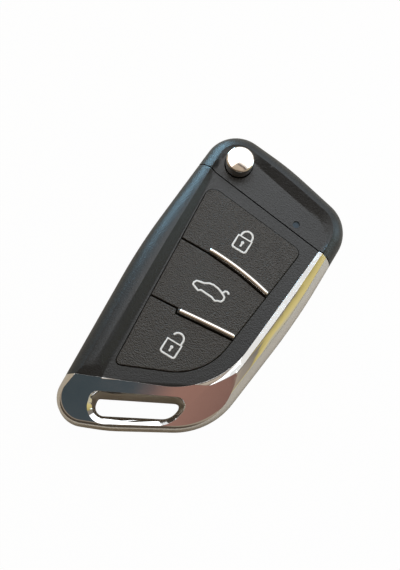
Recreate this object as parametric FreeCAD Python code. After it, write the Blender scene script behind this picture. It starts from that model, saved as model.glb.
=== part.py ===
# Folding key fob shell, modelled as separate pieces in millimetres.
# Origin: centre of the body's outline, on the back face. +Y runs to the head with the release
# button, +X to the chrome side, +Z out of the front with the keys.
import FreeCAD
import Part
import math
import os

V = FreeCAD.Vector
# Farther out than any piece, for the solids that cut
FAR = 60.0

# Body envelope
THICK = 14.8
MID = THICK / 2
EDGE_ROUND = 6.0
LOOP_ROUND = 1.3
OUTLINE = [
    (-18.9, 41.4, 8.3), (-20.7, 3.0, 150.0), (-17.4, -43.6, 6.2), (-3.5, -37.7, 40.0),
    (16.8, -25.8, 17.5), (20.6, 7.9, 160.0), (20.5, 35.0, 9.0), (-0.2, 39.7, 70.0),
]
# The loop end slopes down on both faces, across the direction of the ring slot
LOOP_ANGLE = 28.3
SLOPE_START = 15.5
SLOPE_ANGLE = 15.5
SLOPE_ROUND = 20.0

# Front face: recessed floor inside a raised rim
FLOOR_DEPTH = 1.5
FLOOR_Z = THICK - FLOOR_DEPTH
FLOOR = [(-15.1, 36.1, 3.9), (-10.0, -34.0, 0.6), (13.3, -18.35, 20.5), (16.92, 29.6, 6.0)]
RIM = [(-17.2, 38.7, 5.4), (-13.0, -36.6, 0.6), (15.1, -20.9, 21.5), (19.2, 33.6, 7.0)]

# Boundary between the black shell and the chrome frame, open to the left and to the head
BOUNDARY = [(16.95, 30.0, 0.4), (13.3, -18.35, 20.5), (-23.0, -34.5, 0.4), (-23.0, 30.0, 0.4)]
FRAME_GAP = 0.05
TONGUE_DEPTH = 0.8
TONGUE_HALF = 0.8
TONGUE_GAP = 0.08
# Seam between head and body: a straight line y = SEAM_Y + SEAM_SLOPE * x
SEAM_Y = 25.75
SEAM_SLOPE = -0.123
SEAM_GAP = 0.12

# Shell walls and the space for the electronics
WALL = 1.5
FLOOR_WALL = 1.2
BACK_WALL = 1.5
CEILING = FLOOR_Z - FLOOR_WALL
ROOM_LEFT = -9.5
HEAD_ROOM_LEFT = -1.6

# Ring slot through the loop: its rim on the sloping face, the edge under the rim's chamfer,
# and its waist at mid-thickness, where the two halves meet
SLOT_RIM = [(-10.95, -32.6, 2.1), (-9.6, -40.15, 3.9), (8.7, -29.6, 7.0), (9.4, -22.0, 2.0)]
SLOT_EDGE = [(-10.2, -32.65, 1.5), (-8.15, -37.75, 2.7), (8.0, -28.85, 6.2), (8.7, -22.5, 1.6)]
SLOT_WAIST = [(-9.3, -32.35, 1.9), (-8.2, -36.75, 2.0), (7.5, -28.05, 4.2), (8.0, -22.9, 1.4)]
SLOT_CHAMFER = 0.9

# Folding blade and its hub
PIVOT = (-10.8, 32.3)
HUB_RADIUS = 6.4
HUB_FIT = 0.05
HUB_END_GAP = 0.1
HUB_SPACE = (3.0, CEILING)
ARM_LEFT = 7.7
ARM_RIGHT = 0.1
ARM_LENGTH = 10.6
ARM_Z = (4.9, 9.9)
ARM_ROUND = 1.0
BLADE_INSET = 0.3
BLADE_THICK = 2.2
BLADE_LENGTH = 47.0
BLADE_TIP = 3.0
TRACK_WIDTH = 2.6
TRACK_DEPTH = 0.5
TANG_WIDTH = 4.6
TANG_LENGTH = 6.8
PIN_RADIUS = 0.8
PIN_BORE = 0.4
PIN_FROM_END = 3.4
SWING_GAP = 0.3
SIDE_GAP = 0.2

# Release button with its spring
CAP_RADIUS = 3.35
CAP_HOLE_GAP = 0.2
CAP_BOTTOM = 12.9
CAP_TOP = 17.3
CAP_ROUND = 0.5
DOME_RISE = 0.5
STEM_RADIUS = 2.0
STEM_DEPTH = 2.0
FLANGE_RADIUS = 4.3
FLANGE_THICK = 1.2
CUP_RADIUS = 4.6
RELEASE_TRAVEL = 1.6
SPRING_BORE = 2.8
SPRING_RADIUS = 2.3
SPRING_WIRE = 0.25
SPRING_BOTTOM = 4.0
SPRING_TURNS = 5
SPRING_STEPS = 14
SPRING_SIDES = 6

# Key panel and its three keys
PANEL = [(-14.1, 24.25, 2.4), (-10.05, -25.3, 1.3), (9.2, -16.6, 15.0), (13.25, 21.45, 2.0)]
PANEL_GAP = 0.14
KEY_TOP = FLOOR_Z + 0.3
KEY_EDGE_ROUND = 0.25
KEY_LIP = 0.5
KEY_LIP_THICK = 0.6
KEY_TRAVEL = 0.3
LIP_GAP = 0.1
SPLIT_GAP = 0.3
# Lines that part the three keys: upper split runs left to right, lower split jogs round its bar
UPPER_SPLIT = [(-15.0, 8.75), (-5.4, 9.0), (3.4, 8.35), (14.5, 6.45)]
LOWER_SPLIT = [(-15.0, -7.15), (-4.55, -6.3), (-4.15, -7.45), (12.5, -5.75)]
UPPER_BAR = [(-5.0, 9.85), (3.1, 9.33), (10.9, 7.92)]
LOWER_BAR = [(-3.3, -6.5), (3.2, -5.75), (9.6, -5.15)]
BAR_RADIUS = 0.68
BAR_RISE = 0.1
BAR_SINK = 0.5
KEY_CENTRES = {"lock": (-0.4, 15.6), "trunk": (-0.6, 1.4), "unlock": (-1.2, -14.9)}

# Circuit board and what it carries
BOARD_Z = 8.6
BOARD_THICK = 0.8
BOARD_TOP = BOARD_Z + BOARD_THICK
BOARD_GAP = 0.3
BOARD_END = 22.6
BOARD_TAB = (5.6, 10.9, 28.6)
SWITCH_SIZE = (4.0, 3.4, 1.2)
PLUNGER_RADIUS = 0.9
PLUNGER_FIT = 0.08
PLUNGER_SINK = 0.5
PLUNGER_TOP = 11.0
POST_RADIUS = 1.4
CELL_CENTRE = (1.7, -3.5)
CELL_RADIUS = 10.0
CELL_THICK = 3.2
CELL_Z = 4.2
CELL_STEP = 0.9
CELL_GAP = 0.15
CLIP_WIDTH = 6.0
CLIP_THICK = 0.3
CLIP_GAP = 0.3
LEAF_WIDTH = 4.0
LEAF_FOOT = (-6.0, -2.0)
LEAF_TOUCH = (1.0, 3.0)
LED_CENTRE = (8.6, 26.6)
LED_SIZE = (1.8, 1.2, 0.7)
LENS_RADIUS = 0.85
LENS_FIT = 0.02
LENS_SINK = 0.35
LENS_FLANGE = 1.3
LENS_FLANGE_THICK = 0.6
TRANSPONDER_CENTRE = (3.0, 13.6)
TRANSPONDER_SIZE = (12.0, 6.0, 3.1)
RIB = 0.8
# Small parts on the board: controller, radio chip, crystal, two capacitors and a resistor
CHIPS = [(5.6, 10.6, 4.0, 9.0, 0.9), (6.0, 9.0, -5.0, -2.0, 0.8), (-7.6, -4.4, 6.5, 8.5, 0.7),
         (4.4, 5.4, 12.0, 14.0, 0.6), (6.4, 7.4, 12.0, 14.0, 0.6), (-7.0, -6.0, -12.0, -10.0, 0.6)]

# Screws from the back
SCREWS = [(-6.3, -25.0), (14.1, 18.5), (13.2, 28.9), (-0.2, 34.6)]
BOSS_RADIUS = 1.55
SCREW_RADIUS = 0.7
SCREW_HEAD_RADIUS = 1.3
SCREW_HEAD_THICK = 0.9
SCREW_SINK = 0.5
SCREW_TIP = 11.0
SCREW_FIT = 0.02
SCREW_CLEARANCE = 0.1
RECESS_GAP = 0.15
DRIVE_WIDTH = 0.35
DRIVE_LENGTH = 1.5
DRIVE_DEPTH = 0.5


def box(x0, x1, y0, y1, z0, z1):
    return Part.makeBox(x1 - x0, y1 - y0, z1 - z0, V(x0, y0, z0))


def cylinder(centre, radius, z0, z1):
    return Part.makeCylinder(radius, z1 - z0, V(centre[0], centre[1], z0))


def rounded_wire(corners, z):
    """Closed wire through corners (x, y, radius), each one rounded by its radius."""
    count = len(corners)
    arcs = []
    for i in range(count):
        x, y, radius = corners[i]
        here = V(x, y, z)
        before = V(corners[i - 1][0], corners[i - 1][1], z) - here
        after = V(corners[(i + 1) % count][0], corners[(i + 1) % count][1], z) - here
        before.normalize()
        after.normalize()
        half = before.getAngle(after) / 2
        middle = before + after
        middle.normalize()
        reach = radius / math.tan(half)
        centre = here + middle * (radius / math.sin(half))
        arcs.append((here + before * reach, centre - middle * radius, here + after * reach))
    edges = []
    for i in range(count):
        start, through, end = arcs[i]
        edges.append(Part.Arc(start, through, end).toShape())
        following = arcs[(i + 1) % count][0]
        edges.append(Part.makeLine(end, following))
    return Part.Wire(edges)


def inset(corners, distance):
    """Corners moved inwards by a distance (outwards where negative), radii kept parallel."""
    count = len(corners)
    area = sum(corners[i - 1][0] * corners[i][1] - corners[i][0] * corners[i - 1][1]
               for i in range(count))
    turn = 1 if area > 0 else -1
    lines = []
    for i in range(count):
        x0, y0 = corners[i][:2]
        x1, y1 = corners[(i + 1) % count][:2]
        length = math.hypot(x1 - x0, y1 - y0)
        nx, ny = -turn * (y1 - y0) / length, turn * (x1 - x0) / length
        lines.append((nx, ny, nx * x0 + ny * y0 + distance))
    moved = []
    for i in range(count):
        a, b, p = lines[i - 1]
        c, d, q = lines[i]
        det = a * d - b * c
        radius = max(corners[i][2] - distance, 0.1)
        moved.append(((p * d - b * q) / det, (a * q - p * c) / det, radius))
    return moved


def prism(corners, z0, z1):
    face = Part.Face(rounded_wire(corners, z0))
    return face.extrude(V(0, 0, z1 - z0))


def polygon(points, z0, z1):
    wire = Part.makePolygon([V(x, y, z0) for x, y in points + points[:1]])
    return Part.Face(wire).extrude(V(0, 0, z1 - z0))


def strip(points, width, z0, z1):
    """Upright ribbon of one width along a line of points."""
    solid = None
    for (x0, y0), (x1, y1) in zip(points, points[1:]):
        length = math.hypot(x1 - x0, y1 - y0)
        nx, ny = -(y1 - y0) / length * width / 2, (x1 - x0) / length * width / 2
        part = polygon([(x0 + nx, y0 + ny), (x0 - nx, y0 - ny),
                        (x1 - nx, y1 - ny), (x1 + nx, y1 + ny)], z0, z1)
        part = part.fuse(cylinder((x0, y0), width / 2, z0, z1))
        part = part.fuse(cylinder((x1, y1), width / 2, z0, z1))
        solid = part if solid is None else solid.fuse(part)
    return solid.removeSplitter()


def side_of_seam(offset, below):
    """Everything below or above the seam line, moved along Y by the offset."""
    left = SEAM_Y - SEAM_SLOPE * FAR + offset
    right = SEAM_Y + SEAM_SLOPE * FAR + offset
    edge = -FAR if below else 2 * FAR
    return polygon([(-FAR, left), (FAR, right), (FAR, edge), (-FAR, edge)], -1, THICK + 1)


def loop_direction():
    """Unit vectors along the ring slot and across it, towards the end of the loop."""
    angle = math.radians(LOOP_ANGLE)
    return V(math.cos(angle), math.sin(angle), 0), V(math.sin(angle), -math.cos(angle), 0)


def loop_slope(x, y):
    """Height lost on each face at a place, where the loop end slopes down."""
    along, across = loop_direction()
    fall = (V(x, y, 0).dot(across) - SLOPE_START) * math.tan(math.radians(SLOPE_ANGLE))
    return max(fall, 0)


def wedge(margin):
    """Space between the front and back faces, both moved inwards by a margin."""
    along, across = loop_direction()
    slope = math.radians(SLOPE_ANGLE)
    half = math.radians(SLOPE_ANGLE / 2)
    tangent = SLOPE_ROUND * math.tan(half)
    # the two slopes would meet beyond the loop, so the side view is cut short of that point
    run = (MID - margin) / math.tan(slope) * 0.8

    def place(n, drop, sign):
        return across * n + V(0, 0, MID + sign * (MID - margin - drop)) - along * FAR

    def side(sign):
        start = place(SLOPE_START - tangent, 0, sign)
        through = place(SLOPE_START - tangent + SLOPE_ROUND * math.sin(half),
                        SLOPE_ROUND * (1 - math.cos(half)), sign)
        end = place(SLOPE_START + tangent * math.cos(slope), tangent * math.sin(slope), sign)
        return [Part.makeLine(place(-FAR, 0, sign), start),
                Part.Arc(start, through, end).toShape(),
                Part.makeLine(end, place(SLOPE_START + run, run * math.tan(slope), sign))]

    drop = run * math.tan(slope)
    far = Part.makeLine(place(SLOPE_START + run, drop, 1), place(SLOPE_START + run, drop, -1))
    near = Part.makeLine(place(-FAR, 0, -1), place(-FAR, 0, 1))
    edges = Part.sortEdges(side(1) + [far] + side(-1) + [near])[0]
    return Part.Face(Part.Wire(edges)).extrude(along * (2 * FAR))


def rounded_form(margin):
    """Outline with full round edges on both faces, all moved inwards by a margin."""
    form = prism(inset(OUTLINE, margin), margin, THICK - margin)
    rims = [edge for edge in form.Edges if not is_upright(edge)]
    return form.makeFillet(EDGE_ROUND - margin, rims)


def envelope():
    """Whole outer form: rounded, with a loop end that slopes down on both faces."""
    loop = prism(OUTLINE, 0, THICK).common(wedge(0))
    rims = [edge for edge in loop.Edges if not is_upright(edge) and on_wall(edge)]
    return rounded_form(0).common(loop.makeFillet(LOOP_ROUND, rims))


def is_upright(edge):
    bounds = edge.BoundBox
    return bounds.XLength < 1e-6 and bounds.YLength < 1e-6


def on_wall(edge):
    """True for an edge whose middle lies on the outline's upright wall."""
    middle = edge.valueAt((edge.FirstParameter + edge.LastParameter) / 2)
    foot = Part.Vertex(V(middle.x, middle.y, 0))
    return rounded_wire(OUTLINE, 0).distToShape(foot)[0] < 0.01


def draft(low, z0, high, z1):
    """Solid between two rounded outlines with the same corners at two heights."""
    return Part.makeLoft([rounded_wire(low, z0), rounded_wire(high, z1)], True, True)


def black_side(distance):
    """Everything on the black shell's side of the boundary, moved inwards by a distance."""
    return prism(inset(BOUNDARY, distance), -1, THICK + 1)


def slab(z0, z1):
    return box(-FAR, FAR, -FAR, FAR, z0, z1)


# Spaces inside the case

def electronics_space(margin):
    """Room for the board and cell inside the body and head, drawn in by a margin."""
    body = black_side(WALL + margin)
    body = body.common(side_of_seam(0, True))
    body = body.common(box(ROOM_LEFT + margin, FAR, -FAR, FAR, 0, THICK))
    head = rounded_form(WALL + margin).common(side_of_seam(-SEAM_GAP, False))
    head = head.common(box(HEAD_ROOM_LEFT + margin, FAR, 0, FAR, 0, THICK))
    return body.fuse(head).common(wedge(BACK_WALL))


def cell_space():
    """Room that the covers leave round the coin cell and its strap, whatever their size."""
    x, y = CELL_CENTRE
    half = CLIP_WIDTH / 2 + CELL_GAP
    reach = CELL_RADIUS + CLIP_GAP + CLIP_THICK + CELL_GAP
    strap = box(x - half, x + half, y - reach, y + reach, CELL_Z - CLIP_THICK, BOARD_Z)
    return strap.fuse(cylinder(CELL_CENTRE, CELL_RADIUS + CELL_GAP, CELL_Z, BOARD_Z))


def swing_space():
    """Room for the hub, its arm and the blade over the whole swing."""
    x, y = PIVOT
    hub = cylinder(PIVOT, HUB_RADIUS + HUB_FIT, HUB_SPACE[0], HUB_SPACE[1])
    reach = math.hypot(ARM_LEFT, ARM_LENGTH) + SWING_GAP
    low, high = ARM_Z[0] - SIDE_GAP, ARM_Z[1] + SIDE_GAP
    arm = cylinder(PIVOT, reach, low, high)
    folded = box(-FAR, x - ARM_RIGHT + SIDE_GAP, y - ARM_LENGTH - SWING_GAP, y, low, high)
    opened = box(-FAR, x + ARM_LEFT + SIDE_GAP, y, FAR, low, high)
    arm = arm.common(folded.fuse(opened))
    blade_low = MID - BLADE_THICK / 2 - SWING_GAP
    blade_high = MID + BLADE_THICK / 2 + SWING_GAP
    tip = y - ARM_LENGTH - BLADE_LENGTH - 3 * SWING_GAP
    blade = box(-FAR, x - ARM_RIGHT + SIDE_GAP, tip, y, blade_low, blade_high)
    past = box(-FAR, x + ARM_LEFT + SIDE_GAP, y, FAR, blade_low, blade_high)
    return hub.fuse([arm, blade, past])


def bosses(z0, z1):
    parts = [cylinder(place, BOSS_RADIUS, z0, z1) for place in SCREWS]
    return parts[0].fuse(parts[1:])


# Case pieces

def front_shape(whole):
    """Front half of the envelope with the recessed floor and the panel opening."""
    half = whole.common(slab(MID, THICK + 1)).cut(recess())
    opening = prism(PANEL, CEILING - 1, THICK)
    pocket = prism(inset(PANEL, PANEL_GAP - KEY_LIP - LIP_GAP), key_pocket_z(), CEILING)
    return half.cut(opening).cut(pocket)


def recess():
    """Recess of the front face: flat floor and a slope up to the rim, cut past the rim."""
    steps = 2
    return draft(FLOOR, FLOOR_Z, beyond(FLOOR, RIM, steps), FLOOR_Z + steps * FLOOR_DEPTH)


def beyond(low, high, steps):
    """Corners on the lines from a low outline through a high one, so a cut runs clear."""
    return [(fx + (rx - fx) * steps, fy + (ry - fy) * steps, fr + (rr - fr) * steps)
            for (fx, fy, fr), (rx, ry, rr) in zip(low, high)]


def key_pocket_z():
    """Height of the ledge under the keys' lips, clear of a pressed key."""
    return CEILING - 2 * LIP_GAP - KEY_LIP_THICK - KEY_TRAVEL


def front_covers(whole):
    half = front_shape(whole)
    room = electronics_space(0).common(slab(MID - 1, CEILING))
    posts = bosses(MID, CEILING).cut(slab(key_pocket_z(), CEILING).common(
        prism(inset(PANEL, PANEL_GAP - KEY_LIP - LIP_GAP), 0, THICK)))
    holes = [cylinder(place, SCREW_RADIUS + SCREW_FIT, MID - 1, SCREW_TIP) for place in SCREWS]
    half = half.cut([room, cell_space()]).fuse(posts.common(half)).cut(swing_space()).cut(holes)
    half = half.cut(cylinder(PIVOT, CAP_RADIUS + CAP_HOLE_GAP, MID, THICK + 1))
    half = half.cut(cylinder(LED_CENTRE, LENS_RADIUS + LENS_FIT, MID, THICK))
    head = half.common(side_of_seam(SEAM_GAP / 2, False))
    body = half.common(side_of_seam(-SEAM_GAP / 2, True)).common(black_side(0))
    return head, body.cut(tongue(TONGUE_GAP))


def rear_covers(whole):
    half = whole.common(slab(-1, MID))
    room = electronics_space(0).common(slab(BACK_WALL, MID + 1))
    half = half.cut([room, cell_space()]).fuse(bosses(BACK_WALL, MID).common(half))
    for place in board_posts():
        half = half.fuse(cylinder(place, POST_RADIUS, BACK_WALL, BOARD_Z))
    half = half.fuse(transponder_ribs()).cut(swing_space())
    for place in SCREWS:
        half = half.cut(cylinder(place, SCREW_RADIUS + SCREW_CLEARANCE, -1, MID + 1))
        recess = SCREW_HEAD_RADIUS + RECESS_GAP
        half = half.cut(cylinder(place, recess, -1, screw_seat(place)))
    head = half.common(side_of_seam(SEAM_GAP / 2, False))
    body = half.common(side_of_seam(-SEAM_GAP / 2, True)).common(black_side(0))
    return head, body.cut(tongue(TONGUE_GAP))


def screw_seat(place):
    """Height of the shoulder under a screw's head, sunk below the sloping back."""
    return loop_slope(*place) + SCREW_SINK + SCREW_HEAD_THICK


def board_posts():
    """Places of the posts that carry the circuit board, round the coin cell."""
    x, y = CELL_CENTRE
    reach = CELL_RADIUS + POST_RADIUS + BOARD_GAP
    left = ROOM_LEFT + POST_RADIUS + BOARD_GAP
    beside = x + CLIP_WIDTH / 2 + BOARD_GAP + POST_RADIUS
    return [(left, y + reach), (left, y - reach - POST_RADIUS), (beside, y - reach),
            (x + CELL_RADIUS - POST_RADIUS, y + reach + POST_RADIUS)]


def transponder_ribs():
    x, y = TRANSPONDER_CENTRE
    length, width, height = TRANSPONDER_SIZE
    outer = box(x - length / 2 - RIB, x + length / 2 + RIB, y - width / 2 - RIB,
                y + width / 2 + RIB, BACK_WALL, BACK_WALL + height / 2)
    inner = box(x - length / 2, x + length / 2, y - width / 2, y + width / 2,
                BACK_WALL, THICK)
    return outer.cut(inner)


def tongue(gap):
    """Tongue of the chrome frame that both covers clamp, larger by a gap all round."""
    band = black_side(-1).cut(black_side(TONGUE_DEPTH + gap))
    low, high = MID - TONGUE_HALF - gap, MID + TONGUE_HALF + gap
    band = band.common(slab(low, high)).common(prism(inset(OUTLINE, WALL), 0, THICK))
    return band.common(side_of_seam(-WALL + gap, True))


def chrome_frame(whole):
    """Frame along the right side with the loop and its ring slot."""
    frame = whole.common(side_of_seam(-SEAM_GAP / 2, True)).cut(black_side(-FRAME_GAP))
    frame = frame.cut(recess())
    frame = frame.fuse(tongue(0).cut(prism(inset(SLOT_RIM, -WALL), -1, THICK + 1)))
    half = ring_slot()
    return frame.cut([half, half.mirror(V(0, 0, MID), V(0, 0, 1))])


def ring_slot():
    """Front half of the ring slot: a chamfered rim over walls that draw in to the waist."""
    edge = on_loop_face(SLOT_EDGE, SLOT_CHAMFER)
    above = on_loop_face(beyond(SLOT_EDGE, SLOT_RIM, 2), -SLOT_CHAMFER)
    chamfer = Part.makeLoft([edge, above], True, True)
    walls = Part.makeLoft([rounded_wire(SLOT_WAIST, MID), edge], True, True)
    return chamfer.fuse(walls)


def on_loop_face(corners, depth):
    """Rounded wire on the sloping loop face, then sunk straight down by a depth."""
    along, across = loop_direction()
    slope = math.radians(SLOPE_ANGLE)
    longer = 1 / math.cos(slope) - 1
    stretched = []
    for x, y, radius in corners:
        more = (V(x, y, 0).dot(across) - SLOPE_START) * longer
        stretched.append((x + across.x * more, y + across.y * more, radius))
    wire = rounded_wire(stretched, THICK)
    wire.rotate(across * SLOPE_START + V(0, 0, THICK), along, SLOPE_ANGLE)
    wire.translate(V(0, 0, -depth))
    return wire


# Folding blade

def blade_hub():
    """Hub with the spring bore, the button's cup and the arm that holds the blade."""
    x, y = PIVOT
    low, high = HUB_SPACE[0] + HUB_END_GAP, HUB_SPACE[1] - HUB_END_GAP
    hub = cylinder(PIVOT, HUB_RADIUS, low, high)
    arm = box(x - ARM_LEFT, x - ARM_RIGHT, y - ARM_LENGTH, y, ARM_Z[0], ARM_Z[1])
    corners = [edge for edge in arm.Edges if is_upright(edge)
               and edge.CenterOfMass.y < y - ARM_LENGTH / 2]
    hub = hub.fuse(arm.makeFillet(ARM_ROUND, corners))
    hub = hub.cut(cylinder(PIVOT, SPRING_BORE, SPRING_BOTTOM, high + 1))
    hub = hub.cut(cylinder(PIVOT, CUP_RADIUS, cup_floor(), high + 1))
    hub = hub.cut(tang(SCREW_FIT))
    place = pin_place()
    return hub.cut(cylinder(place, PIN_RADIUS, ARM_Z[0] - 1, ARM_Z[1] + 1))


def cup_floor():
    """Floor of the hub's cup, clear of the pressed button's flange."""
    return flange_top() - FLANGE_THICK - RELEASE_TRAVEL - SIDE_GAP


def flange_top():
    return HUB_SPACE[1] - HUB_END_GAP


def blade_middle():
    """X of the blade's centre line when folded."""
    return PIVOT[0] - (ARM_LEFT + ARM_RIGHT) / 2


def tang(fit):
    """Root of the blade inside the arm, larger by a fit all round."""
    x, y = blade_middle(), PIVOT[1] - ARM_LENGTH
    half = TANG_WIDTH / 2 + fit
    return box(x - half, x + half, y - fit, y + TANG_LENGTH + fit,
               MID - BLADE_THICK / 2 - fit, MID + BLADE_THICK / 2 + fit)


def pin_place():
    return (blade_middle(), PIVOT[1] - ARM_LENGTH + PIN_FROM_END)


def key_blade():
    """Uncut blade with a milled track on both faces."""
    x, y = blade_middle(), PIVOT[1] - ARM_LENGTH
    half = (ARM_LEFT - ARM_RIGHT) / 2 - BLADE_INSET
    low, high = MID - BLADE_THICK / 2, MID + BLADE_THICK / 2
    tip = y - BLADE_LENGTH
    outline = [(x - half, y), (x + half, y), (x + half, tip + BLADE_TIP),
               (x + half - BLADE_TIP, tip), (x - half + BLADE_TIP, tip),
               (x - half, tip + BLADE_TIP)]
    blade = polygon(outline, low, high).fuse(tang(0))
    edge = TRACK_WIDTH / 2
    for z0, z1 in ((low - 1, low + TRACK_DEPTH), (high - TRACK_DEPTH, high + 1)):
        start = (x, y - 2 * BLADE_TIP)
        end = (x, tip - 1)
        blade = blade.cut(strip([start, end], 2 * edge, z0, z1))
    return blade.cut(cylinder(pin_place(), PIN_RADIUS, low - 1, high + 1))


def blade_pin():
    """Rolled pin with its open seam."""
    place = pin_place()
    pin = cylinder(place, PIN_RADIUS, ARM_Z[0], ARM_Z[1])
    pin = pin.cut(cylinder(place, PIN_BORE, ARM_Z[0], ARM_Z[1]))
    seam = PIN_BORE / 2
    return pin.cut(box(place[0], place[0] + 2 * PIN_RADIUS, place[1] - seam / 2,
                       place[1] + seam / 2, ARM_Z[0], ARM_Z[1]))


# Release button

def release_cap():
    """Chrome cap: a short cylinder under a shallow dome with a rounded edge."""
    x, y = PIVOT
    dome = (CAP_RADIUS ** 2 + DOME_RISE ** 2) / (2 * DOME_RISE)
    cap = cylinder(PIVOT, CAP_RADIUS, CAP_BOTTOM, CAP_TOP)
    cap = cap.common(Part.makeSphere(dome, V(x, y, CAP_TOP - dome)))
    rim = [edge for edge in cap.Edges if CAP_BOTTOM + 1 < edge.CenterOfMass.z
           and not edge.BoundBox.ZLength > 0.1]
    cap = cap.makeFillet(CAP_ROUND, rim)
    return cap.cut(cylinder(PIVOT, STEM_RADIUS, CAP_BOTTOM, CAP_BOTTOM + STEM_DEPTH))


def release_stem():
    stem = cylinder(PIVOT, FLANGE_RADIUS, flange_top() - FLANGE_THICK, flange_top())
    stem = stem.fuse(cylinder(PIVOT, CAP_RADIUS - SIDE_GAP, flange_top(), CAP_BOTTOM))
    return stem.fuse(cylinder(PIVOT, STEM_RADIUS, CAP_BOTTOM, CAP_BOTTOM + STEM_DEPTH))


def flip_spring():
    """Coil in the hub under the button's flange, its wire drawn with flat facets."""
    top = flange_top() - FLANGE_THICK - SPRING_WIRE
    low = SPRING_BOTTOM + SPRING_WIRE
    steps = SPRING_TURNS * SPRING_STEPS
    rings = []
    for i in range(steps + 1):
        angle = 2 * math.pi * i / SPRING_STEPS
        height = low + (top - low) * i / steps
        ring = []
        for k in range(SPRING_SIDES):
            turn = 2 * math.pi * k / SPRING_SIDES
            reach = SPRING_RADIUS + SPRING_WIRE * math.cos(turn)
            ring.append(V(PIVOT[0] + reach * math.cos(angle), PIVOT[1] + reach * math.sin(angle),
                          height + SPRING_WIRE * math.sin(turn)))
        rings.append(ring)
    faces = [flat_face(rings[0]), flat_face(rings[-1])]
    for lower, upper in zip(rings, rings[1:]):
        for k in range(SPRING_SIDES):
            after = (k + 1) % SPRING_SIDES
            faces.append(flat_face([lower[k], lower[after], upper[after]]))
            faces.append(flat_face([lower[k], upper[after], upper[k]]))
    return Part.Solid(Part.Shell(faces))


def flat_face(points):
    return Part.Face(Part.makePolygon(points + points[:1]))


# Keys

def split_walls(z0, z1):
    upper = strip(UPPER_SPLIT, SPLIT_GAP, z0, z1)
    lower = strip(LOWER_SPLIT, SPLIT_GAP, z0, z1)
    return upper, lower


def keys():
    """The three key caps, each with a lip under the cover and a post over its switch."""
    cap = prism(inset(PANEL, PANEL_GAP), CEILING - LIP_GAP, KEY_TOP)
    lip_top = CEILING - LIP_GAP
    lip_low = lip_top - KEY_LIP_THICK
    lip = prism(inset(PANEL, PANEL_GAP - KEY_LIP), lip_low, lip_top)
    for place in SCREWS:
        lip = lip.cut(cylinder(place, BOSS_RADIUS + LIP_GAP, lip_low, lip_top))
    whole = cap.fuse(lip).cut(split_walls(lip_low - 1, THICK))
    named = {}
    for solid in whole.Solids:
        for name, centre in KEY_CENTRES.items():
            if solid.isInside(V(centre[0], centre[1], lip_top - LIP_GAP), 0.001, True):
                named[name] = finish_key(solid, centre, lip_low)
    return named


def finish_key(solid, centre, lip_low):
    """Round the key's top edge, add its post and cut the groove for its bar."""
    rim = [edge for edge in solid.Edges if edge.BoundBox.ZMin > KEY_TOP - 0.01]
    solid = solid.makeFillet(KEY_EDGE_ROUND, rim)
    solid = solid.fuse(cylinder(centre, POST_RADIUS, PLUNGER_TOP, lip_low))
    return solid.cut([bar(UPPER_BAR), bar(LOWER_BAR)])


def bar(points):
    """Half-round chrome strip with rounded ends along an arc, set into a key's top."""
    axis = KEY_TOP + BAR_RISE
    start, through, end = [V(x, y, axis) for x, y in points]
    path = Part.Arc(start, through, end).toShape()
    tangent = path.tangentAt(path.FirstParameter)
    section = Part.Wire(Part.makeCircle(BAR_RADIUS, start, tangent))
    rod = Part.Wire(path).makePipeShell([section], True, True)
    rod = rod.fuse([Part.makeSphere(BAR_RADIUS, start), Part.makeSphere(BAR_RADIUS, end)])
    return rod.common(slab(KEY_TOP - BAR_SINK, THICK + 1)).removeSplitter()


# Electronics

def circuit_board():
    board = electronics_space(BOARD_GAP).common(slab(BOARD_Z, BOARD_TOP))
    board = board.common(box(-FAR, FAR, -FAR, BOARD_END, 0, THICK))
    left, right, end = BOARD_TAB
    board = board.fuse(box(left, right, BOARD_END - 1, end, BOARD_Z, BOARD_TOP))
    for place in SCREWS:
        board = board.cut(cylinder(place, BOSS_RADIUS + BOARD_GAP, BOARD_Z, BOARD_TOP))
    return board.removeSplitter()


def plunger_bottom():
    return BOARD_TOP + SWITCH_SIZE[2] - PLUNGER_SINK


def switch_bodies():
    length, width, height = SWITCH_SIZE
    solids = []
    for x, y in KEY_CENTRES.values():
        body = box(x - length / 2, x + length / 2, y - width / 2, y + width / 2,
                   BOARD_TOP, BOARD_TOP + height)
        hole = cylinder((x, y), PLUNGER_RADIUS + PLUNGER_FIT,
                        plunger_bottom() - KEY_TRAVEL - LIP_GAP, BOARD_TOP + height)
        solids.append(body.cut(hole))
    return Part.makeCompound(solids)


def plunger(name):
    return cylinder(KEY_CENTRES[name], PLUNGER_RADIUS, plunger_bottom(), PLUNGER_TOP)


def circuit_chips():
    return Part.makeCompound([box(x0, x1, y0, y1, BOARD_TOP, BOARD_TOP + height)
                              for x0, x1, y0, y1, height in CHIPS])


def status_led():
    x, y = LED_CENTRE
    length, width, height = LED_SIZE
    return box(x - length / 2, x + length / 2, y - width / 2, y + width / 2,
               BOARD_TOP, BOARD_TOP + height)


def led_lens():
    base = CEILING - LENS_FLANGE_THICK
    lens = cylinder(LED_CENTRE, LENS_RADIUS, BOARD_TOP + LED_SIZE[2], FLOOR_Z - LENS_SINK)
    return lens.fuse(cylinder(LED_CENTRE, LENS_FLANGE, base, CEILING))


def coin_cell():
    top = CELL_Z + CELL_THICK
    cell = cylinder(CELL_CENTRE, CELL_RADIUS, CELL_Z, top)
    step = cylinder(CELL_CENTRE, CELL_RADIUS - CELL_STEP, top - CLIP_THICK, top)
    ring = cylinder(CELL_CENTRE, CELL_RADIUS, top - CLIP_THICK, top).cut(step)
    return cell.cut(ring)


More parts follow.
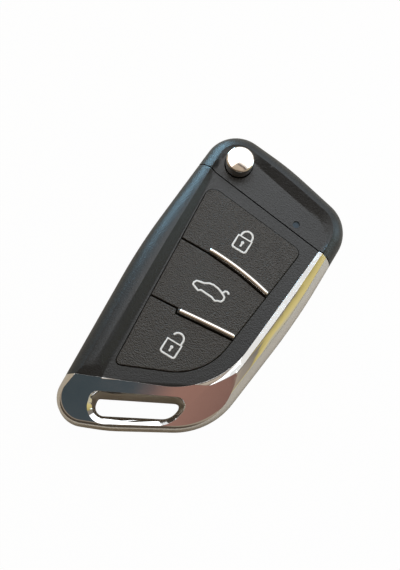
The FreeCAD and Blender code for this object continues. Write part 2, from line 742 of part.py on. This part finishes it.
def clip_positive():
    """Strap under the cell with a leg up to the board at each end."""
    x, y = CELL_CENTRE
    half = CLIP_WIDTH / 2
    inner = CELL_RADIUS + CLIP_GAP
    outer = inner + CLIP_THICK
    strap = box(x - half, x + half, y - outer, y + outer, CELL_Z - CLIP_THICK, CELL_Z)
    legs = [box(x - half, x + half, y - outer, y - inner, CELL_Z, BOARD_Z),
            box(x - half, x + half, y + inner, y + outer, CELL_Z, BOARD_Z)]
    return strap.fuse(legs).removeSplitter()


def clip_negative():
    """Bent leaf between the board and the middle of the cell."""
    x, y = CELL_CENTRE
    top, low = BOARD_Z, CELL_Z + CELL_THICK
    foot, bend = LEAF_FOOT
    touch, tip = LEAF_TOUCH
    side = [(foot, top), (bend, top), (touch, low + CLIP_THICK), (tip, low + CLIP_THICK),
            (tip, low), (touch - CLIP_THICK, low), (bend - CLIP_THICK, top - CLIP_THICK),
            (foot, top - CLIP_THICK)]
    wire = Part.makePolygon([V(x + a, y - LEAF_WIDTH / 2, z) for a, z in side + side[:1]])
    return Part.Face(wire).extrude(V(0, LEAF_WIDTH, 0))


def transponder_chip():
    x, y = TRANSPONDER_CENTRE
    length, width, height = TRANSPONDER_SIZE
    return box(x - length / 2, x + length / 2, y - width / 2, y + width / 2,
               BACK_WALL, BACK_WALL + height)


def case_screws():
    solids = []
    for x, y in SCREWS:
        seat = screw_seat((x, y))
        screw = cylinder((x, y), SCREW_HEAD_RADIUS, seat - SCREW_HEAD_THICK, seat)
        screw = screw.fuse(cylinder((x, y), SCREW_RADIUS, seat, SCREW_TIP))
        long, wide = DRIVE_LENGTH / 2, DRIVE_WIDTH / 2
        depth = seat - SCREW_HEAD_THICK + DRIVE_DEPTH
        cross = box(x - long, x + long, y - wide, y + wide, 0, depth)
        cross = cross.fuse(box(x - wide, x + wide, y - long, y + long, 0, depth))
        solids.append(screw.cut(cross))
    return Part.makeCompound(solids)


def save(name, shape):
    shape.exportStep("parts/" + name + ".step")


def main():
    os.makedirs("parts", exist_ok=True)
    whole = envelope()
    head_front, body_front = front_covers(whole)
    head_rear, body_rear = rear_covers(whole)
    save("head_front_cover", head_front)
    save("body_front_cover", body_front)
    save("head_rear_cover", head_rear)
    save("body_rear_cover", body_rear)
    save("chrome_frame", chrome_frame(whole))
    save("blade_hub", blade_hub())
    save("key_blade", key_blade())
    save("blade_pin", blade_pin())
    save("release_button_cap", release_cap())
    save("release_button_stem", release_stem())
    save("flip_spring", flip_spring())
    for name, key in keys().items():
        save(name + "_key", key)
        save(name + "_switch_plunger", plunger(name))
    save("lock_key_bar", bar(UPPER_BAR))
    save("trunk_key_bar", bar(LOWER_BAR))
    save("circuit_board", circuit_board())
    save("switch_bodies", switch_bodies())
    save("circuit_chips", circuit_chips())
    save("status_led", status_led())
    save("led_lens", led_lens())
    save("coin_cell", coin_cell())
    save("battery_clip_positive", clip_positive())
    save("battery_clip_negative", clip_negative())
    save("transponder_chip", transponder_chip())
    save("case_screws", case_screws())


main()
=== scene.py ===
"""Looks of the folding key fob: finishes for its CAD pieces, printed symbols, light and camera."""
import math

import bpy
from mathutils import Matrix, Vector


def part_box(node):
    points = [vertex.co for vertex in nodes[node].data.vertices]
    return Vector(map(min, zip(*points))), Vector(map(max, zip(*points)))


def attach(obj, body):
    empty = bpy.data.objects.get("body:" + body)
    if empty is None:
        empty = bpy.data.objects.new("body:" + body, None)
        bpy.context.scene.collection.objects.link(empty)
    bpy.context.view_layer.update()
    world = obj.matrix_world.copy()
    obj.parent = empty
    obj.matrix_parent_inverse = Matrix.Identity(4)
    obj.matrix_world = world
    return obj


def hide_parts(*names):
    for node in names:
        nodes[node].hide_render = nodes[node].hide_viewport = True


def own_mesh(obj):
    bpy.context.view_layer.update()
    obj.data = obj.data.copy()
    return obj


MM = 0.001

# Seam between head and body, along y = SEAM_Y + SEAM_SLOPE * x, in millimetres
SEAM_Y = 25.75
SEAM_SLOPE = -0.123
SEAM_GAP = 0.12
SEAM_REACH = 0.01
SEAM_DRAW = 0.08
HEAD_SIDE = 1
BODY_SIDE = -1

# Reworked copies of nodes: widths in millimetres, angles in degrees
WELD = 0.001
FRAME_EASE = 0.22
COVER_EASE = 0.14
FLAT_ANGLE = 0.3
SHARP_ANGLE = 48
SMOOTH_ANGLE = 36
COIL_ANGLE = 75
LARGE_FACE_WEIGHT = 80

# Printed lines: half width and height in millimetres, angle in degrees
PRINT_HALF_WIDTH = 0.23
PRINT_HEIGHT = 0.05
PRINT_ANGLE = 40

# Where a Mix node for colours takes its share and its two colours, and gives the result
MIX_SHARE = 0
MIX_UNDER = 6
MIX_OVER = 7
MIX_RESULT = 2

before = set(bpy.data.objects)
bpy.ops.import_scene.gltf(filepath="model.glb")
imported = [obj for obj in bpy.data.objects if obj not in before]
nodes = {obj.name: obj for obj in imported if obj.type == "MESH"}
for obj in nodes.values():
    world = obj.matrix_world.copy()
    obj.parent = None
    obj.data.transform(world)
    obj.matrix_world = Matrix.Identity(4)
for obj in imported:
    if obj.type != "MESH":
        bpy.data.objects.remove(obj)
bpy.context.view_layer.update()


# Node helpers

def start_material(name):
    """New node material with its Principled shader and object coordinates."""
    material = bpy.data.materials.new(name)
    material.use_nodes = True
    tree = material.node_tree
    shader = tree.nodes["Principled BSDF"]
    place = tree.nodes.new("ShaderNodeTexCoord")
    return material, tree, shader, place.outputs["Object"]


def noise(tree, place, scale, detail=3):
    """Cloudy pattern from 0 to 1; the scale is in clouds per metre."""
    node = tree.nodes.new("ShaderNodeTexNoise")
    node.inputs["Scale"].default_value = scale
    node.inputs["Detail"].default_value = detail
    node.inputs["Roughness"].default_value = 0.55
    tree.links.new(place, node.inputs["Vector"])
    return node.outputs["Fac"]


def pebbles(tree, place, scale):
    """Small rounded cells, like the grain of moulded soft plastic."""
    node = tree.nodes.new("ShaderNodeTexVoronoi")
    node.feature = "SMOOTH_F1"
    node.inputs["Scale"].default_value = scale
    node.inputs["Smoothness"].default_value = 0.6
    tree.links.new(place, node.inputs["Vector"])
    return node.outputs["Distance"]


def spread(tree, value, low, high):
    """Maps the middle half of a 0 to 1 pattern to a range of numbers."""
    node = tree.nodes.new("ShaderNodeMapRange")
    node.inputs["From Min"].default_value = 0.25
    node.inputs["From Max"].default_value = 0.75
    node.inputs["To Min"].default_value = low
    node.inputs["To Max"].default_value = high
    tree.links.new(value, node.inputs["Value"])
    return node.outputs["Result"]


def two_tone(tree, value, first, second, low=0.3, high=0.7):
    """Colour that runs from the first to the second as a pattern rises from low to high."""
    node = tree.nodes.new("ShaderNodeValToRGB")
    start, end = node.color_ramp.elements
    start.position = low
    start.color = (*first, 1)
    end.position = high
    end.color = (*second, 1)
    tree.links.new(value, node.inputs["Fac"])
    return node.outputs["Color"]


def relief(tree, shader, height, strength, depth):
    """Bumps a surface by a pattern; the depth is in metres."""
    node = tree.nodes.new("ShaderNodeBump")
    node.inputs["Strength"].default_value = strength
    node.inputs["Distance"].default_value = depth
    tree.links.new(height, node.inputs["Height"])
    tree.links.new(node.outputs["Normal"], shader.inputs["Normal"])


# Finishes

def grained_plastic(name, dark, light, strength, cells):
    """Black moulded plastic: rounded pebble grain whose tone follows its height, so its raised
    tops carry a painted highlight, with a faint drift.
    """
    pebble_share, cloud_scale, drift_scale = 0.5, cells * 0.8, 350
    material, tree, shader, place = start_material(name)
    grain = tree.nodes.new("ShaderNodeMath")
    grain.operation = "MULTIPLY_ADD"
    grain.inputs[1].default_value = pebble_share
    tree.links.new(pebbles(tree, place, cells), grain.inputs[0])
    tree.links.new(noise(tree, place, cloud_scale, detail=2), grain.inputs[2])
    # Grain tone plus painted highlight: the raised tops of the pebbles are painted paler, as if
    # lit from above
    grain_tone_and_painted_highlight = two_tone(tree, grain.outputs[0], dark, light, 0.45, 0.85)
    tree.links.new(grain_tone_and_painted_highlight, shader.inputs["Base Color"])
    drift = noise(tree, place, drift_scale)
    tree.links.new(spread(tree, drift, 0.34, 0.39), shader.inputs["Roughness"])
    relief(tree, shader, grain.outputs[0], strength, 0.0003)
    shader.inputs["Specular IOR Level"].default_value = 0.55
    return material


def mirror_plating(name, tint, rough_low, rough_high):
    """Bright chrome plating with faint handling haze."""
    material, tree, shader, place = start_material(name)
    shader.inputs["Metallic"].default_value = 1
    haze = noise(tree, place, 160, detail=4)
    shade = tuple(value * 0.94 for value in tint)
    tree.links.new(two_tone(tree, haze, shade, tint), shader.inputs["Base Color"])
    tree.links.new(spread(tree, haze, rough_low, rough_high), shader.inputs["Roughness"])
    relief(tree, shader, noise(tree, place, 90), 0.02, 0.0001)
    return material


def brushed_metal(name, colour, roughness, along=(1, 1, 1)):
    """Metal with fine flecks, drawn out to lines where the scale along an axis is small."""
    material, tree, shader, place = start_material(name)
    shader.inputs["Metallic"].default_value = 1
    stretch = tree.nodes.new("ShaderNodeMapping")
    stretch.inputs["Scale"].default_value = along
    tree.links.new(place, stretch.inputs["Vector"])
    lines = noise(tree, stretch.outputs["Vector"], 900, detail=5)
    dark = tuple(value * 0.72 for value in colour)
    tree.links.new(two_tone(tree, lines, dark, colour), shader.inputs["Base Color"])
    tree.links.new(spread(tree, lines, roughness * 0.8, roughness * 1.3),
                   shader.inputs["Roughness"])
    relief(tree, shader, lines, 0.15, 0.00004)
    return material


def moulded_plastic(name, colour, roughness):
    """Plain moulded plastic with a faint drift in tone."""
    material, tree, shader, place = start_material(name)
    drift = noise(tree, place, 500)
    dark = tuple(value * 0.8 for value in colour)
    tree.links.new(two_tone(tree, drift, dark, colour), shader.inputs["Base Color"])
    tree.links.new(spread(tree, drift, roughness * 0.85, roughness * 1.15),
                   shader.inputs["Roughness"])
    relief(tree, shader, noise(tree, place, 2500), 0.1, 0.00005)
    return material


def clear_window(name):
    """Dark blue clear plastic of the status light's window."""
    material, tree, shader, place = start_material(name)
    cloud = noise(tree, place, 700)
    tree.links.new(two_tone(tree, cloud, (0.03, 0.055, 0.08), (0.06, 0.09, 0.12)),
                   shader.inputs["Base Color"])
    shader.inputs["Roughness"].default_value = 0.4
    shader.inputs["Specular IOR Level"].default_value = 0.25
    relief(tree, shader, cloud, 0.05, 0.00005)
    return material


def silver_print(name):
    """Silver-white ink of the printed symbols."""
    material, tree, shader, place = start_material(name)
    cloud = noise(tree, place, 1500)
    tree.links.new(two_tone(tree, cloud, (0.74, 0.75, 0.75), (0.86, 0.87, 0.87)),
                   shader.inputs["Base Color"])
    shader.inputs["Roughness"].default_value = 0.4
    relief(tree, shader, cloud, 0.08, 0.00003)
    return material


# The second colour of each grained plastic is the painted highlight on its raised pebble tops
shell = grained_plastic("grained_shell", (0.004, 0.005, 0.006), (0.012, 0.014, 0.016),
                        strength=0.26, cells=3600)
keycap = grained_plastic("grained_keycap", (0.003, 0.0025, 0.002), (0.03, 0.026, 0.021),
                         strength=0.7, cells=3400)
plating = mirror_plating("mirror_plating", (0.9, 0.9, 0.9), 0.03, 0.09)
warm_plating = mirror_plating("warm_plating", (0.93, 0.87, 0.81), 0.05, 0.12)
steel = brushed_metal("brushed_blade", (0.62, 0.61, 0.59), 0.3, along=(1, 0.05, 1))
cast = brushed_metal("blasted_hub", (0.42, 0.42, 0.43), 0.45)
contact = brushed_metal("stamped_contact", (0.66, 0.62, 0.54), 0.3, along=(0.1, 1, 1))
can = brushed_metal("cell_can", (0.72, 0.72, 0.74), 0.25)
dark_screw = brushed_metal("black_screw", (0.09, 0.09, 0.095), 0.38)
stem_plastic = moulded_plastic("moulded_black", (0.02, 0.02, 0.021), 0.4)
board_mask = moulded_plastic("board_mask", (0.01, 0.12, 0.05), 0.3)
cream = moulded_plastic("cream_plunger", (0.66, 0.62, 0.54), 0.45)
led_top = moulded_plastic("led_top", (0.8, 0.78, 0.55), 0.2)
window = clear_window("clear_window")
ink = silver_print("silver_print")

FINISHES = [
    (shell, ["head_front_cover", "head_rear_cover", "body_front_cover", "body_rear_cover"]),
    (keycap, ["lock_key", "trunk_key", "unlock_key"]),
    (plating, ["chrome_frame"]),
    (warm_plating, ["release_button_cap", "lock_key_bar", "trunk_key_bar"]),
    (cast, ["blade_hub"]),
    (steel, ["key_blade", "blade_pin", "flip_spring"]),
    (stem_plastic, ["release_button_stem", "switch_bodies", "circuit_chips", "transponder_chip"]),
    (board_mask, ["circuit_board"]),
    (cream, ["lock_switch_plunger", "trunk_switch_plunger", "unlock_switch_plunger"]),
    (led_top, ["status_led"]),
    (window, ["led_lens"]),
    (can, ["coin_cell"]),
    (contact, ["battery_clip_positive", "battery_clip_negative"]),
    (dark_screw, ["case_screws"]),
]


def dress(piece, material):
    """Gives a piece its one finish."""
    piece.data.materials.clear()
    piece.data.materials.append(material)


for finish, names in FINISHES:
    for node_name in names:
        dress(nodes[node_name], finish)


def deselect():
    """Leaves nothing selected, so that the next operator acts on one piece alone."""
    for item in bpy.context.selected_objects:
        item.select_set(False)


# Reworked copies of nodes: eased edges, and a smooth-shaded copy of the coil

def merged_copy(name, ending):
    """Copy of a node with its loose triangles joined up, ready to be reworked."""
    deselect()
    bpy.context.view_layer.objects.active = nodes[name]
    nodes[name].select_set(True)
    bpy.ops.object.duplicate()
    piece = bpy.context.object
    piece.name = name + ending
    bpy.ops.mesh.customdata_custom_splitnormals_clear()
    bpy.ops.object.mode_set(mode="EDIT")
    bpy.ops.mesh.select_all(action="SELECT")
    bpy.ops.mesh.remove_doubles(threshold=WELD * MM)
    bpy.ops.mesh.dissolve_limited(angle_limit=math.radians(FLAT_ANGLE))
    bpy.ops.mesh.select_all(action="DESELECT")
    bpy.ops.object.mode_set(mode="OBJECT")
    return piece


def draw_back(piece, side):
    """Moves the piece's end face at the seam away from it; the side is the piece's own."""
    for vertex in piece.data.vertices:
        past = vertex.co.y / MM - SEAM_Y - SEAM_SLOPE * vertex.co.x / MM
        vertex.select = abs(past - side * SEAM_GAP / 2) < SEAM_REACH
    bpy.ops.object.mode_set(mode="EDIT")
    bpy.ops.transform.translate(value=(0, side * SEAM_DRAW * MM, 0))
    bpy.ops.object.mode_set(mode="OBJECT")


def eased(name, side, width):
    """Copy of a case node with its sharp edges rounded and its end drawn back from the seam."""
    piece = merged_copy(name, "_eased")
    draw_back(piece, side)
    edge = piece.modifiers.new("eased_edges", "BEVEL")
    edge.width = width * MM
    edge.segments = 2
    edge.limit_method = "ANGLE"
    edge.angle_limit = math.radians(SHARP_ANGLE)
    edge.miter_outer = "MITER_ARC"
    bpy.ops.object.modifier_apply(modifier=edge.name)
    bpy.ops.object.shade_smooth_by_angle(angle=math.radians(SMOOTH_ANGLE))
    flat = piece.modifiers.new("flat_faces", "WEIGHTED_NORMAL")
    flat.keep_sharp = True
    flat.weight = LARGE_FACE_WEIGHT
    bpy.ops.object.modifier_apply(modifier=flat.name)
    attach(piece, "case")
    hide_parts(name)


def pressed_coil():
    """Smooth-shaded copy of the release button's coil, riding with the blade."""
    piece = merged_copy("flip_spring", "_coil")
    bpy.ops.object.shade_smooth_by_angle(angle=math.radians(COIL_ANGLE))
    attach(piece, "blade")
    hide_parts("flip_spring")
    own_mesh(piece)


eased("chrome_frame", BODY_SIDE, FRAME_EASE)
eased("body_front_cover", BODY_SIDE, COVER_EASE)
eased("head_front_cover", HEAD_SIDE, COVER_EASE)
pressed_coil()


# Printed symbols on the keys, drawn in millimetres

def stroke(points, closed):
    """One round line of ink through points, as a mesh object at height 0."""
    deselect()
    bpy.ops.curve.primitive_bezier_curve_add(location=(0, 0, 0))
    data = bpy.context.object.data
    data.splines.clear()
    spline = data.splines.new("POLY")
    spline.points.add(len(points) - 1)
    for point, (x, y) in zip(spline.points, points):
        point.co = (x * MM, y * MM, 0, 1)
    spline.use_cyclic_u = closed
    data.dimensions = "3D"
    data.bevel_depth = PRINT_HALF_WIDTH * MM
    data.bevel_resolution = 3
    data.use_fill_caps = True
    bpy.ops.object.convert(target="MESH")
    return bpy.context.object


def arc(centre, radius, start, end, count):
    """Points round a centre between two angles in degrees."""
    angles = [math.radians(start + (end - start) * i / count) for i in range(count + 1)]
    return [(centre[0] + radius * math.cos(a), centre[1] + radius * math.sin(a))
            for a in angles]


def padlock(x, y, width, height):
    """Outline of a padlock's body, rounded at its lower corners."""
    left, right, top, low = x - width / 2, x + width / 2, y + height / 2, y - height / 2
    turn = 0.55
    points = [(left, top)]
    points += arc((left + turn, low + turn), turn, 180, 270, 5)
    points += arc((right - turn, low + turn), turn, 270, 360, 5)
    return points + [(right, top)]


def keyhole(x, y):
    """Small ring with a line down from it."""
    ring = arc((x, y), 0.17, 0, 324, 9)
    slit = [(x, y - 0.1), (x - 0.02, y - 1.1)]
    return [(ring, True), (slit, False)]


def closed_padlock():
    body = padlock(0.12, 15.2, 3.6, 3.3)
    shackle = [(-1.1, 16.85)] + arc((0.28, 17.35), 1.4, 180, 0, 14) + [(1.68, 16.85)]
    return [(body, True), (shackle, False), *keyhole(0.12, 15.6)]


def open_padlock():
    body = padlock(-0.83, -15.12, 3.7, 3.45)
    shackle = [(0.72, -13.4)] + arc((-0.62, -12.35), 1.37, 0, 165, 12)
    return [(body, True), (shackle, False), *keyhole(-0.82, -14.75)]


def car_with_open_boot():
    """Side view of a car, clockwise from its nose, and its raised lid."""
    car = [(-4.5, 0.62), (-4.55, 1.15), (-4.2, 1.8), (-3.3, 2.02), (-2.35, 2.22), (-1.35, 2.83),
           (-0.35, 3.02), (0.85, 2.88), (1.85, 2.58), (2.7, 2.2), (3.3, 1.83), (3.47, 1.15),
           (3.2, 0.47), (2.45, 0.25), (1.92, -0.12), (1.4, 0.0), (0.9, 0.24), (-0.55, 0.31),
           (-2.15, 0.4), (-2.75, -0.04), (-3.4, 0.18), (-4.0, 0.42)]
    lid = [(2.4, 2.45), (2.75, 3.1), (3.15, 3.3), (3.55, 3.2), (3.85, 2.9)]
    return [(car, True), (lid, False)]


def symbol(name, lines, key, body):
    """Joins the lines of one symbol, flattens them onto the top of a key and rides them on it."""
    made = [stroke(points, closed) for points, closed in lines]
    deselect()
    for item in made:
        item.select_set(True)
    bpy.context.view_layer.objects.active = made[0]
    bpy.ops.object.join()
    piece = bpy.context.object
    piece.name = name
    bpy.ops.object.mode_set(mode="EDIT")
    bpy.ops.mesh.select_all(action="SELECT")
    flat = PRINT_HEIGHT / PRINT_HALF_WIDTH
    bpy.ops.transform.resize(value=(1, 1, flat), center_override=(0, 0, 0))
    key_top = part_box(key)[1].z
    bpy.ops.transform.translate(value=(0, 0, key_top))
    bpy.ops.object.mode_set(mode="OBJECT")
    bpy.ops.object.shade_smooth_by_angle(angle=math.radians(PRINT_ANGLE))
    dress(piece, ink)
    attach(piece, body)


symbol("lock_symbol", closed_padlock(), "lock_key", "lock_button")
symbol("trunk_symbol", car_with_open_boot(), "trunk_key", "trunk_button")
symbol("unlock_symbol", open_padlock(), "unlock_key", "unlock_button")


# Floor, light and camera

# Ramps along a part of a direction or place: each stop's value, red, green, blue and cover
FLOOR_BY_X = [(-0.06, (0.5, 0.4, 0.28, 1)), (0.03, (0.6, 0.56, 0.5, 1))]
WALLS_BY_Y = [
    (-1.0, (0.05, 0.04, 0.03, 1)), (-0.66, (0.09, 0.07, 0.05, 1)),
    (-0.5, (0.32, 0.26, 0.2, 1)), (-0.2, (0.4, 0.33, 0.25, 1)),
    (0.08, (0.54, 0.46, 0.38, 1)), (0.12, (0.12, 0.09, 0.075, 1)),
    (0.16, (0.15, 0.12, 0.1, 1)), (0.2, (0.93, 0.9, 0.86, 1)), (1.0, (0.78, 0.84, 0.88, 1))]
SIDE_BY_X = [
    (0.28, (0.26, 0.25, 0.24, 0)), (0.42, (0.2, 0.19, 0.18, 1)), (0.76, (0.24, 0.21, 0.17, 1)),
    (0.81, (0.5, 0.41, 0.15, 1)), (0.95, (0.7, 0.58, 0.24, 1)), (1.0, (0.45, 0.45, 0.44, 1))]
SIDE_SHARE_BY_Y = [(-0.3, (0, 0, 0, 1)), (0.0, (1, 1, 1, 1))]
OVERHEAD_BY_X = [
    (0.1, (0.045, 0.06, 0.068, 1)), (0.175, (0.065, 0.08, 0.088, 1)),
    (0.205, (0.34, 0.18, 0.14, 1)), (0.27, (0.2, 0.11, 0.09, 1))]
OVERHEAD_TOWARD = (0.17, -0.31, 0.935)
OVERHEAD_ANGLES = (6.5, 9)
FLOOR_WIDTH = 4
FLOOR_WHITE = 0.98


def band(tree, value, stops):
    """Ramp along one value from -1 to 1; gives its colour and its cover."""
    scaled = tree.nodes.new("ShaderNodeMapRange")
    scaled.inputs["From Min"].default_value = -1
    tree.links.new(value, scaled.inputs["Value"])
    ramp = tree.nodes.new("ShaderNodeValToRGB")
    elements = ramp.color_ramp.elements
    while len(elements) < len(stops):
        elements.new(0.5)
    for element, (position, colour) in zip(elements, stops):
        element.position = (position + 1) / 2
        element.color = colour
    tree.links.new(scaled.outputs["Result"], ramp.inputs["Fac"])
    return ramp.outputs["Color"], ramp.outputs["Alpha"]


def product(tree, first, second):
    """First value times the second, which is a number or another node's value."""
    node = tree.nodes.new("ShaderNodeMath")
    node.operation = "MULTIPLY"
    tree.links.new(first, node.inputs[0])
    if isinstance(second, float):
        node.inputs[1].default_value = second
    else:
        tree.links.new(second, node.inputs[1])
    return node.outputs[0]


def layer(tree, share, under, over):
    """Lays one colour over another by a share from 0 to 1."""
    node = tree.nodes.new("ShaderNodeMix")
    node.data_type = "RGBA"
    tree.links.new(share, node.inputs[MIX_SHARE])
    tree.links.new(under, node.inputs[MIX_UNDER])
    tree.links.new(over, node.inputs[MIX_OVER])
    return node.outputs[MIX_RESULT]


def blend(tree, share, first, second):
    """Shader that goes from the first to the second by a share from 0 to 1."""
    node = tree.nodes.new("ShaderNodeMixShader")
    tree.links.new(share, node.inputs["Fac"])
    tree.links.new(first, node.inputs[1])
    tree.links.new(second, node.inputs[2])
    return node.outputs["Shader"]


def round_patch(tree, place, toward, narrow, wide):
    """1 within a narrow angle of a direction, fading to 0 at a wide one, in degrees."""
    dot = tree.nodes.new("ShaderNodeVectorMath")
    dot.operation = "DOT_PRODUCT"
    dot.inputs[1].default_value = toward
    tree.links.new(place, dot.inputs[0])
    node = tree.nodes.new("ShaderNodeMapRange")
    node.interpolation_type = "SMOOTHSTEP"
    node.inputs["From Min"].default_value = math.cos(math.radians(wide))
    node.inputs["From Max"].default_value = math.cos(math.radians(narrow))
    tree.links.new(dot.outputs["Value"], node.inputs["Value"])
    return node.outputs["Result"]


def pale_floor():
    """Nearly white to the camera and cream to the fob, but still takes its shadow."""
    material, tree, shader, place = start_material("pale_floor")
    split = tree.nodes.new("ShaderNodeSeparateXYZ")
    tree.links.new(place, split.inputs["Vector"])
    tint, _ = band(tree, split.outputs["X"], FLOOR_BY_X)
    tree.links.new(tint, shader.inputs["Base Color"])
    shader.inputs["Roughness"].default_value = 0.8
    light = tree.nodes.new("ShaderNodeEmission")
    path = tree.nodes.new("ShaderNodeLightPath")
    share = product(tree, path.outputs["Is Camera Ray"], FLOOR_WHITE)
    seen = blend(tree, share, shader.outputs["BSDF"], light.outputs["Emission"])
    tree.links.new(seen, tree.nodes["Material Output"].inputs["Surface"])
    return material


def lay_floor():
    deselect()
    bpy.ops.mesh.primitive_plane_add(size=FLOOR_WIDTH, location=(0, 0, 0))
    floor = bpy.context.object
    floor.name = "floor"
    bpy.ops.object.mode_set(mode="EDIT")
    bpy.ops.mesh.subdivide(number_cuts=3)
    bpy.ops.object.mode_set(mode="OBJECT")
    dress(floor, pale_floor())


def studio_world():
    """Room that the plating reflects: walls, one warm side and a small dark patch overhead."""
    world = bpy.data.worlds.new("studio")
    bpy.context.scene.world = world
    world.use_nodes = True
    tree = world.node_tree
    tree.nodes.clear()
    place = tree.nodes.new("ShaderNodeTexCoord").outputs["Generated"]
    split = tree.nodes.new("ShaderNodeSeparateXYZ")
    tree.links.new(place, split.inputs["Vector"])
    walls, _ = band(tree, split.outputs["Y"], WALLS_BY_Y)
    side, cover = band(tree, split.outputs["X"], SIDE_BY_X)
    upper, _ = band(tree, split.outputs["Y"], SIDE_SHARE_BY_Y)
    overhead, _ = band(tree, split.outputs["X"], OVERHEAD_BY_X)
    room = layer(tree, product(tree, cover, upper), walls, side)
    patch = round_patch(tree, place, OVERHEAD_TOWARD, *OVERHEAD_ANGLES)
    room = layer(tree, patch, room, overhead)
    light = tree.nodes.new("ShaderNodeBackground")
    tree.links.new(room, light.inputs["Color"])
    white = tree.nodes.new("ShaderNodeBackground")
    white.inputs["Color"].default_value = (1, 1, 1, 1)
    path = tree.nodes.new("ShaderNodeLightPath")
    seen = blend(tree, path.outputs["Is Camera Ray"], light.outputs["Background"],
                 white.outputs["Background"])
    out = tree.nodes.new("ShaderNodeOutputWorld")
    tree.links.new(seen, out.inputs["Surface"])


def lamp(name, place, size, power, colour):
    """Soft panel lamp aimed at the middle of the fob."""
    data = bpy.data.lights.new(name, "AREA")
    data.shape = "RECTANGLE"
    data.size, data.size_y = size
    data.energy = power
    data.color = colour
    item = bpy.data.objects.new(name, data)
    bpy.context.scene.collection.objects.link(item)
    item.location = place
    aim = Vector((0, 0, 0.007)) - Vector(place)
    item.rotation_euler = aim.to_track_quat("-Z", "Y").to_euler()


def place_camera():
    """Camera fitted to the photograph: 17 degrees of tilt and the fob turned by about 33."""
    focal_px, long_side_px, sensor = 976.1, 570, 36
    distance = 227 * MM
    aim = Vector((-3.0, 1.3, 13.6)) * MM
    right = Vector((0.85198, 0.51836, 0.07351))
    up = Vector((-0.51699, 0.81083, 0.27434))
    back = Vector((0.08261, -0.27174, 0.95882))
    data = bpy.data.cameras.new("camera")
    data.sensor_width = sensor
    data.lens = focal_px / long_side_px * sensor
    data.clip_start = 0.01
    camera = bpy.data.objects.new("camera", data)
    bpy.context.scene.collection.objects.link(camera)
    turn = Matrix((right, up, back)).transposed().to_4x4()
    camera.matrix_world = Matrix.Translation(aim + back * distance) @ turn
    bpy.context.scene.camera = camera


lay_floor()
studio_world()
lamp("window", (0.0, 0.165, 0.19), (0.36, 0.19), 0.28, (0.95, 0.97, 1.0))
lamp("sky", (-0.22, 0.16, 0.03), (0.15, 0.08), 0.5, (0.4, 0.75, 1.0))
lamp("side", (-0.085, 0.045, 0.16), (0.1, 0.1), 0.05, (0.96, 0.98, 1.0))
lamp("back", (0.32, 0.28, 0.05), (0.24, 0.2), 0.5, (0.6, 0.85, 1.0))
place_camera()
bpy.context.scene.view_settings.view_transform = "Standard"
